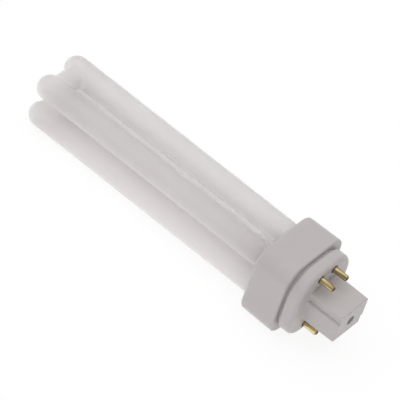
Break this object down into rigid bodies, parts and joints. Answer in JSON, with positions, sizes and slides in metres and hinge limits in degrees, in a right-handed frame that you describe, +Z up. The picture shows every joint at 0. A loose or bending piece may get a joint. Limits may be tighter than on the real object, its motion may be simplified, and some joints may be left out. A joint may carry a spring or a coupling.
{
  "type": "compact fluorescent bulb",
  "caption": "White glass discharge tube bent into side-by-side U shapes, held in a square plastic collar on a plug-in cap with a key post and brass contact pins.",
  "frame": {"origin": "on the lamp's axis at the seating plane, which is the end face of the cap's flange that the contact pins stand out of", "axes": "+X along the lamp's axis towards the tube tips, +Z up as the lamp lies on a flat side of its collar, Y along the pairs of pins"},
  "size_m": [0.146, 0.0336, 0.0336],
  "materials": {
    "phosphor_glass": "glossy clear glass over a white phosphor coat",
    "white_plastic": "satin moulded",
    "brass": "drawn, bright",
    "lead_wire": "drawn nickel-iron",
    "cement": "matt cured cement"
  },
  "bodies": {
    "root": {"discharge_tube": "phosphor_glass", "tube_collar": "white_plastic", "base_cap": "white_plastic", "tube_cement": "cement", "contact_pin_1": "brass", "contact_pin_2": "brass", "contact_pin_3": "brass", "contact_pin_4": "brass", "lead_wire_1": "lead_wire", "lead_wire_2": "lead_wire", "lead_wire_3": "lead_wire", "lead_wire_4": "lead_wire"}
  },
  "joints": []
}
